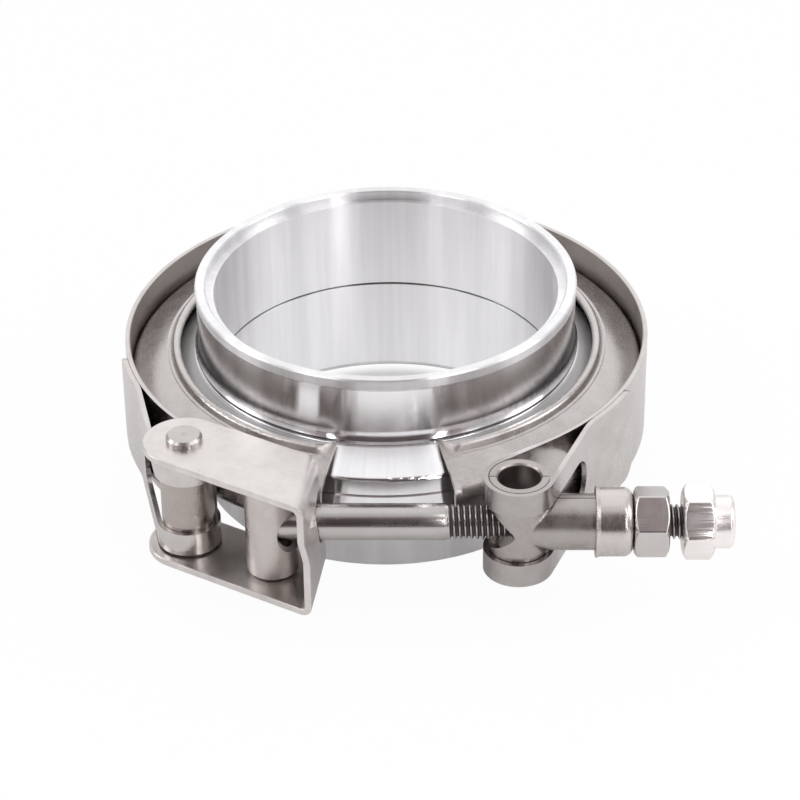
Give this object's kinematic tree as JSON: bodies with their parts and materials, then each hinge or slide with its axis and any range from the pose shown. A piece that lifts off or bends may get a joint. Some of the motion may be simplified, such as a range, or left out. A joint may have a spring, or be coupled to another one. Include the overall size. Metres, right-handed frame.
{
  "type": "v band clamp",
  "caption": "Quick-release band clamp with a V channel, swinging latch and T bolt, loosely closed round a pair of turned weld flanges for an exhaust pipe joint.",
  "frame": {"origin": "On the pipe axis, in the joint plane where the two flanges meet.", "axes": "+Z along the pipe towards the upper flange's socket, +X along the T bolt from the latch to the nuts, -Y from the pipe axis towards the bolt."},
  "size_m": [0.1262, 0.1276, 0.0456],
  "materials": {
    "turned_flange": "fine turned aluminium",
    "band_strip": "cold rolled stainless strip, softly polished",
    "retainer_sheet": "roll formed stainless sheet",
    "latch_plate": "pressed stainless plate, satin",
    "rivet_steel": "upset stainless rivet",
    "latch_tube": "rolled stainless tube",
    "bolt_steel": "bright drawn stainless bolt with a rolled thread",
    "formed_tube": "formed stainless tube, satin",
    "cup_steel": "bright turned stainless steel",
    "nut_steel": "machined stainless nut",
    "plated_nut": "bright white zinc plating",
    "nylon": "natural nylon"
  },
  "bodies": {
    "clamp": {"lower_flange": "turned_flange", "clamp_band": "band_strip", "retainer_left": "retainer_sheet", "retainer_right": "retainer_sheet"},
    "clocked_flange": {"upper_flange": "turned_flange"},
    "latch": {"latch_bracket": "latch_plate", "latch_rivet": "rivet_steel", "latch_sleeve": "latch_tube"},
    "trunnion_body": {"trunnion": "formed_tube", "trunnion_cup": "cup_steel"},
    "nut": {"hex_nut": "nut_steel"},
    "bolt": {"t_bolt": "bolt_steel", "t_bolt_barrel": "latch_tube", "lock_nut": "plated_nut", "lock_nut_insert": "nylon"}
  },
  "joints": [
    {"name": "clocking", "type": "hinge", "parent": "clamp", "child": "clocked_flange", "pos_m": [0, 0, 0], "axis": [0, 0, 1], "continuous": true},
    {"name": "latch_pivot", "type": "hinge", "parent": "clamp", "child": "latch", "pos_m": [-0.03963, -0.04696, 0], "axis": [0, 0, -1], "range_deg": [0, 150]},
    {"name": "trunnion_swivel", "type": "hinge", "parent": "clamp", "child": "trunnion_body", "pos_m": [0.02745, -0.05686, 0], "axis": [0, 0, 1], "range_deg": [0, 5]},
    {"name": "nut_turn", "type": "hinge", "parent": "trunnion_body", "child": "nut", "pos_m": [0.0538, -0.05686, 0], "axis": [1, 0, 0], "range_deg": [0, 771.5]},
    {"name": "bolt_slide", "type": "slide", "parent": "trunnion_body", "child": "bolt", "axis": [-1, 0, 0], "range_m": [0, 0.0024]}
  ],
  "couplings": [
    {"joint": "trunnion_swivel", "follows": "latch_pivot", "ratio": 0.033333},
    {"joint": "nut_turn", "follows": "bolt_slide", "rad_per_m": 5610}
  ]
}
